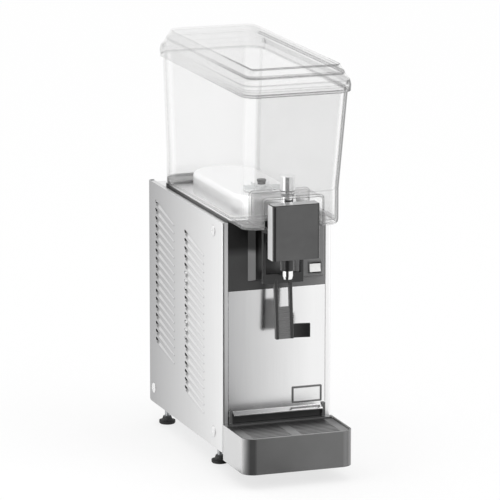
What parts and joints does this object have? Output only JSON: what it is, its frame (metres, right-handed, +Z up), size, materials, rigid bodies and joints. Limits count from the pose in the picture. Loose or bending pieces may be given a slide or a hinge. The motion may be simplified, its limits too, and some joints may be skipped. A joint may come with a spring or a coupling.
{
  "type": "refrigerated drink dispenser",
  "caption": "Narrow countertop machine that chills a drink in a clear lidded tank, stirs it and pours it through a push-lever valve above a drip tray.",
  "frame": {"origin": "bottom centre of the whole machine's bounding box, on the table", "axes": "+X to the right seen from the front, -Y out of the front, +Z up"},
  "size_m": [0.1892, 0.4736, 0.667],
  "materials": {
    "stainless_sheet": "brushed",
    "zinc_sheet": "zinc coated",
    "black_moulding": "fine grain",
    "bright_plate": "bright, bare",
    "switch_black": "fine grain",
    "switch_white": "gloss",
    "foot_rubber": "moulded",
    "bright_screws": "bright",
    "tray_plastic": "fine grain",
    "grate_plastic": "fine grain",
    "clear_tank": "clear",
    "clear_lid": "clear",
    "gasket_rubber": "moulded",
    "stainless_dome": "satin",
    "copper": "drawn tube",
    "motor_casing": "satin",
    "magnet_steel": "satin",
    "impeller_white": "gloss",
    "cap_black": "fine grain",
    "foam": "expanded foam",
    "polished_steel": "polished",
    "seal_rubber": "moulded",
    "bracket_black": "fine grain",
    "gloss_black": "high gloss",
    "lever_black": "satin",
    "compressor_black": "enamel",
    "fin_aluminium": "plain",
    "fan_aluminium": "plain",
    "box_grey": "fine grain",
    "knob_black": "fine grain",
    "gland_black": "fine grain"
  },
  "bodies": {
    "machine": {"side_panel_left": "stainless_sheet", "side_panel_right": "stainless_sheet", "front_panel": "stainless_sheet", "kick_panel": "zinc_sheet", "rear_panel": "zinc_sheet", "base_pan": "zinc_sheet", "deck": "stainless_sheet", "fascia": "black_moulding", "badge_plate": "bright_plate", "switch_housing": "switch_black", "foot_nuts": "zinc_sheet", "panel_screws": "bright_screws", "tray_bracket": "zinc_sheet", "bowl_gasket": "gasket_rubber", "evaporator": "stainless_dome", "evaporator_coil": "copper", "motor_bracket": "zinc_sheet", "agitator_motor": "motor_casing", "insulation": "foam", "compressor": "compressor_black", "compressor_mounts": "seal_rubber", "terminal_cover": "bracket_black", "condenser": "fin_aluminium", "fan_shroud": "zinc_sheet", "fan_motor": "motor_casing", "discharge_pipe": "copper", "suction_pipe": "copper", "filter_drier": "copper", "liquid_line": "copper", "electrical_box": "box_grey", "thermostat": "box_grey", "cord_gland": "gland_black"},
    "tank": {"bowl": "clear_tank", "valve_body": "polished_steel", "valve_gasket": "seal_rubber", "valve_bracket": "bracket_black", "spout_sleeve": "bracket_black", "valve_cover": "gloss_black", "lever_pin": "polished_steel"},
    "tank_lid": {"lid": "clear_lid"},
    "push_lever": {"lever": "lever_black", "link_pin": "polished_steel"},
    "valve_plunger": {"plunger": "polished_steel", "plunger_seal": "seal_rubber"},
    "tray": {"drip_tray": "tray_plastic"},
    "grate": {"drip_grate": "grate_plastic"},
    "magnet": {"drive_magnet": "magnet_steel"},
    "impeller": {"agitator": "impeller_white", "agitator_cap": "cap_black"},
    "fan": {"fan_blades": "fan_aluminium"},
    "rocker": {"switch_rocker": "switch_white"},
    "knob": {"thermostat_knob": "knob_black"},
    "foot_fl": {"foot_front_left": "foot_rubber"},
    "foot_fr": {"foot_front_right": "foot_rubber"},
    "foot_rl": {"foot_rear_left": "foot_rubber"},
    "foot_rr": {"foot_rear_right": "foot_rubber"}
  },
  "joints": [
    {"name": "tank_lift", "type": "slide", "parent": "machine", "child": "tank", "axis": [0, 0, 1], "range_m": [0, 0.1]},
    {"name": "lid_lift", "type": "slide", "parent": "tank", "child": "tank_lid", "axis": [0, 0, 1], "range_m": [0, 0.06]},
    {"name": "lever_push", "type": "hinge", "parent": "tank", "child": "push_lever", "pos_m": [0, -0.20325, 0.4], "axis": [1, 0, 0], "range_deg": [0, 6]},
    {"name": "plunger_lift", "type": "slide", "parent": "tank", "child": "valve_plunger", "axis": [0, 0, 1], "range_m": [0, 0.0028]},
    {"name": "tray_pull", "type": "slide", "parent": "machine", "child": "tray", "axis": [0, -1, 0], "range_m": [0, 0.12]},
    {"name": "grate_lift", "type": "slide", "parent": "tray", "child": "grate", "axis": [0, 0, 1], "range_m": [0, 0.05]},
    {"name": "magnet_spin", "type": "hinge", "parent": "machine", "child": "magnet", "pos_m": [0, -0.05725, 0.43], "axis": [0, 0, 1], "continuous": true},
    {"name": "impeller_spin", "type": "hinge", "parent": "machine", "child": "impeller", "pos_m": [0, -0.05725, 0.45], "axis": [0, 0, 1], "continuous": true},
    {"name": "fan_spin", "type": "hinge", "parent": "machine", "child": "fan", "pos_m": [0, -0.066, 0.125], "axis": [0, 1, 0], "continuous": true},
    {"name": "switch_rock", "type": "hinge", "parent": "machine", "child": "rocker", "pos_m": [0.0605, -0.13325, 0.3275], "axis": [1, 0, 0], "range_deg": [0, 12]},
    {"name": "thermostat_turn", "type": "hinge", "parent": "machine", "child": "knob", "pos_m": [0.055, 0.22175, 0.335], "axis": [0, 1, 0], "range_deg": [0, 270]},
    {"name": "foot_fl_turn", "type": "hinge", "parent": "machine", "child": "foot_fl", "pos_m": [-0.072, -0.06025, 0.02], "axis": [0, 0, 1], "continuous": true},
    {"name": "foot_fr_turn", "type": "hinge", "parent": "machine", "child": "foot_fr", "pos_m": [0.072, -0.06025, 0.02], "axis": [0, 0, 1], "continuous": true},
    {"name": "foot_rl_turn", "type": "hinge", "parent": "machine", "child": "foot_rl", "pos_m": [-0.072, 0.20375, 0.02], "axis": [0, 0, 1], "continuous": true},
    {"name": "foot_rr_turn", "type": "hinge", "parent": "machine", "child": "foot_rr", "pos_m": [0.072, 0.20375, 0.02], "axis": [0, 0, 1], "continuous": true}
  ],
  "couplings": [
    {"joint": "plunger_lift", "follows": "lever_push", "m_per_rad": 0.026},
    {"joint": "impeller_spin", "follows": "magnet_spin", "ratio": 1}
  ]
}
